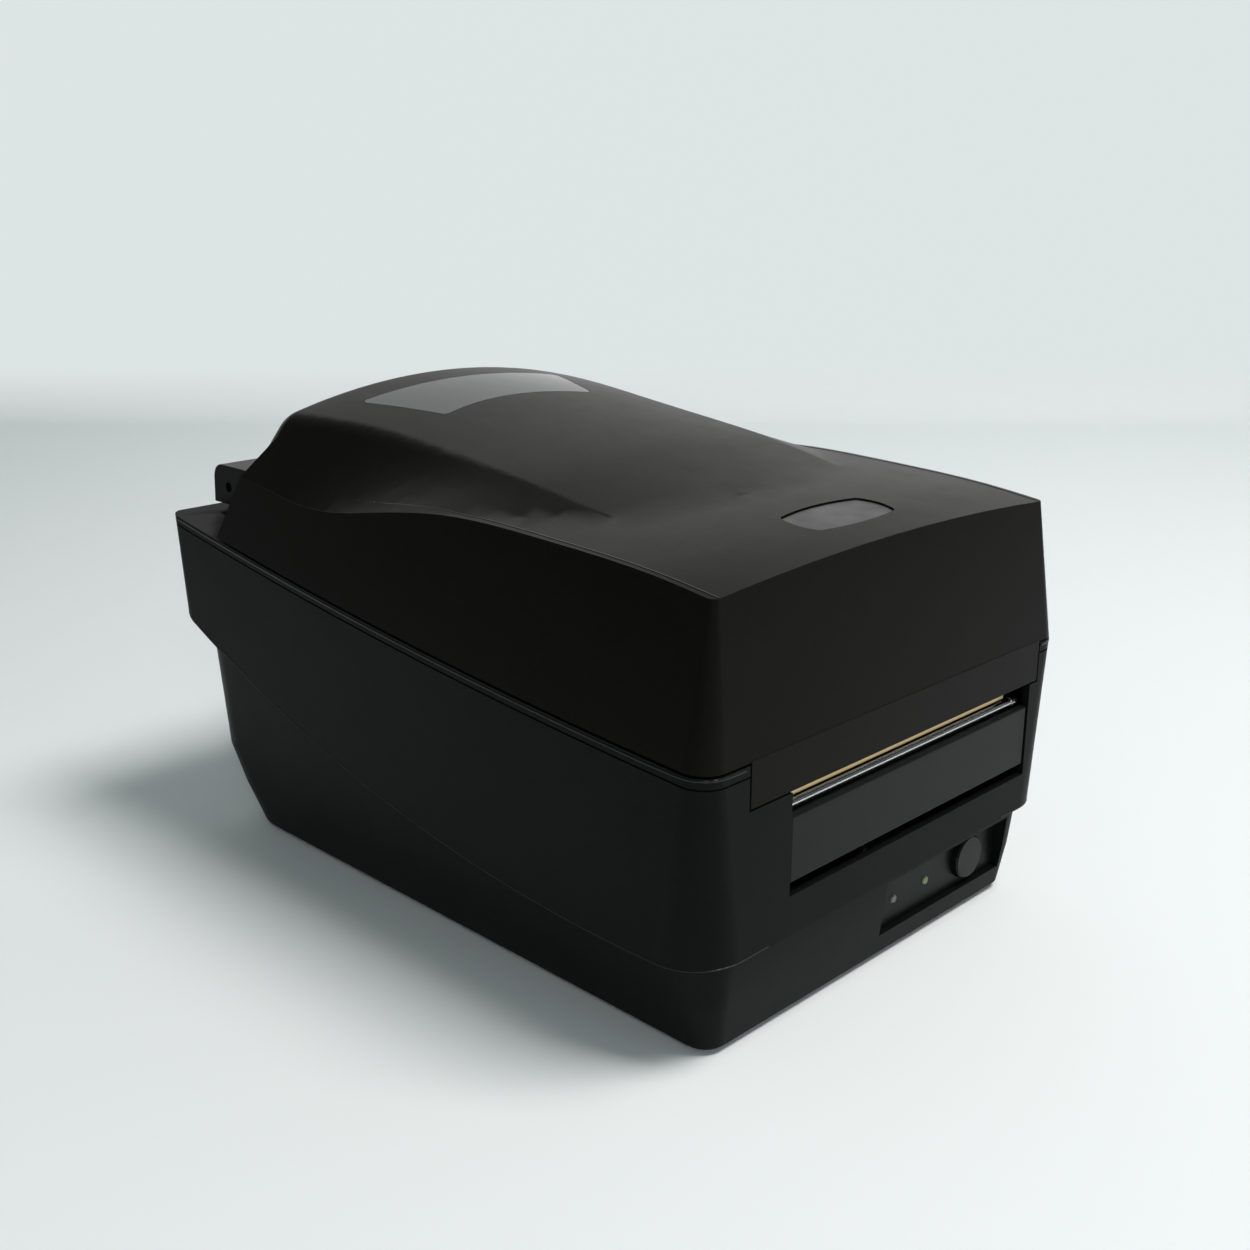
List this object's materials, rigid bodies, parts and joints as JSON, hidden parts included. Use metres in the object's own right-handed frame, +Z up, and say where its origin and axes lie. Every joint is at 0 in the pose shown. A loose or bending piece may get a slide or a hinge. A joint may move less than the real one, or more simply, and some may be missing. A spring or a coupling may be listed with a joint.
{
  "type": "barcode printer",
  "caption": "Desktop label printer with a hinged domed cover, smoke window, front label slot, feed button and lift-up print module.",
  "frame": {"origin": "middle of the footprint on the floor plane, under the rubber feet", "axes": "+Z up, label exit faces -Y, cover hinge along X at the +Y end, the plain long side faces -X"},
  "size_m": [0.19, 0.28, 0.1776],
  "materials": {
    "housing": "fine-grained near-black ABS",
    "base_plastic": "fine-grained near-black ABS",
    "window": "smoke-tinted clear plastic",
    "badge": "satin dark plastic, bare",
    "inner_plastic": "dark moulded plastic",
    "panel_film": "dark film",
    "button": "dark moulded button",
    "lamp": "unlit clear-green light pipe",
    "steel": "zinc-plated sheet steel",
    "bright_steel": "polished steel",
    "brass": "brass strip",
    "rubber": "soft black rubber",
    "gear": "natural acetal",
    "bush": "natural acetal",
    "motor": "painted steel can",
    "board": "green circuit board",
    "ceramic": "glazed ceramic head",
    "sink": "extruded aluminium",
    "lever": "green release lever",
    "spindle": "dark moulded plastic",
    "port_shell": "plated connector shell",
    "port_plastic": "black connector plastic"
  },
  "bodies": {
    "base": {"base_tray": "base_plastic", "cabinet": "housing", "foot_front_left": "rubber", "foot_front_right": "rubber", "foot_rear_left": "rubber", "foot_rear_right": "rubber", "tray_screws": "steel", "control_panel": "panel_film", "lamp_left": "lamp", "lamp_right": "lamp", "control_board": "board", "chassis_left": "steel", "chassis_right": "steel", "chassis_screws": "steel", "cross_bracket": "steel", "lower_bar": "bright_steel", "guide_strip": "brass", "front_plate": "housing", "platen_bushes": "bush", "idler_pin": "steel", "drive_motor": "motor", "module_shaft": "bright_steel", "media_liner": "inner_plastic", "main_board": "board", "port_board": "board", "switch_frame": "port_plastic", "power_jack": "port_plastic", "usb_port": "port_shell", "serial_port": "port_shell", "parallel_port": "port_shell", "hinge_pins": "bright_steel"},
    "lid": {"lid": "housing", "lid_window": "window", "badge_plate": "badge"},
    "platen": {"platen_roller": "rubber", "platen_shaft": "bright_steel", "platen_gear": "gear"},
    "idler": {"idler_gear": "gear"},
    "rotor": {"motor_shaft": "bright_steel", "motor_pinion": "brass"},
    "module": {"module_frame": "inner_plastic", "tear_bar": "bright_steel", "head_spring_left": "steel", "head_spring_right": "steel"},
    "head": {"print_head": "ceramic", "head_sink": "sink"},
    "lever": {"release_lever": "lever"},
    "takeup": {"takeup_spindle": "spindle"},
    "supply": {"supply_spindle": "spindle"},
    "media": {"media_spindle": "spindle", "media_hub_left": "spindle", "media_hub_right": "spindle"},
    "guide_l": {"media_guide_left": "lever"},
    "guide_r": {"media_guide_right": "lever"},
    "sensor": {"media_sensor": "port_plastic"},
    "button": {"feed_button": "button", "button_spring": "steel"},
    "rocker": {"switch_rocker": "button"}
  },
  "joints": [
    {"name": "lid_hinge", "type": "hinge", "parent": "base", "child": "lid", "pos_m": [0, 0.124, 0.1365], "axis": [-1, 0, 0], "range_deg": [0, 80]},
    {"name": "platen_spin", "type": "hinge", "parent": "base", "child": "platen", "pos_m": [0.007, -0.124, 0.073], "axis": [1, 0, 0], "continuous": true},
    {"name": "idler_spin", "type": "hinge", "parent": "base", "child": "idler", "pos_m": [-0.066, -0.10638, 0.06195], "axis": [1, 0, 0], "continuous": true},
    {"name": "rotor_spin", "type": "hinge", "parent": "base", "child": "rotor", "pos_m": [-0.06, -0.09, 0.044], "axis": [1, 0, 0], "continuous": true},
    {"name": "module_lift", "type": "hinge", "parent": "base", "child": "module", "pos_m": [0.007, -0.008, 0.112], "axis": [-1, 0, 0], "range_deg": [0, 52]},
    {"name": "head_float", "type": "slide", "parent": "module", "child": "head", "axis": [0, 0, 1], "range_m": [0, 0.0012], "stiffness_N_per_m": 2500, "springref_m": -0.001, "deforming": ["head_spring_left", "head_spring_right"]},
    {"name": "lever_release", "type": "hinge", "parent": "module", "child": "lever", "pos_m": [-0.048, -0.106, 0.112], "axis": [1, 0, 0], "range_deg": [0, 18]},
    {"name": "takeup_spin", "type": "hinge", "parent": "module", "child": "takeup", "pos_m": [0.007, -0.092, 0.124], "axis": [1, 0, 0], "continuous": true},
    {"name": "supply_spin", "type": "hinge", "parent": "module", "child": "supply", "pos_m": [0.007, -0.038, 0.124], "axis": [1, 0, 0], "continuous": true},
    {"name": "media_spin", "type": "hinge", "parent": "base", "child": "media", "pos_m": [0.007, 0.046, 0.104], "axis": [1, 0, 0], "continuous": true},
    {"name": "guide_left_slide", "type": "slide", "parent": "base", "child": "guide_l", "axis": [1, 0, 0], "range_m": [0, 0.028]},
    {"name": "guide_right_slide", "type": "slide", "parent": "base", "child": "guide_r", "axis": [-1, 0, 0], "range_m": [0, 0.028]},
    {"name": "sensor_slide", "type": "slide", "parent": "base", "child": "sensor", "axis": [1, 0, 0], "range_m": [-0.03, 0.03]},
    {"name": "button_press", "type": "slide", "parent": "base", "child": "button", "axis": [0, 1, 0], "range_m": [0, 0.0012], "stiffness_N_per_m": 600, "springref_m": -0.0005},
    {"name": "switch_tilt", "type": "hinge", "parent": "base", "child": "rocker", "pos_m": [0.046, 0.126, 0.026], "axis": [0, 0, 1], "range_deg": [-10, 0]}
  ],
  "couplings": [
    {"joint": "module_lift", "follows": "lid_hinge", "ratio": 0.65},
    {"joint": "idler_spin", "follows": "platen_spin", "ratio": -1.5625},
    {"joint": "rotor_spin", "follows": "platen_spin", "ratio": 4.6875},
    {"joint": "guide_right_slide", "follows": "guide_left_slide", "ratio": 1}
  ]
}
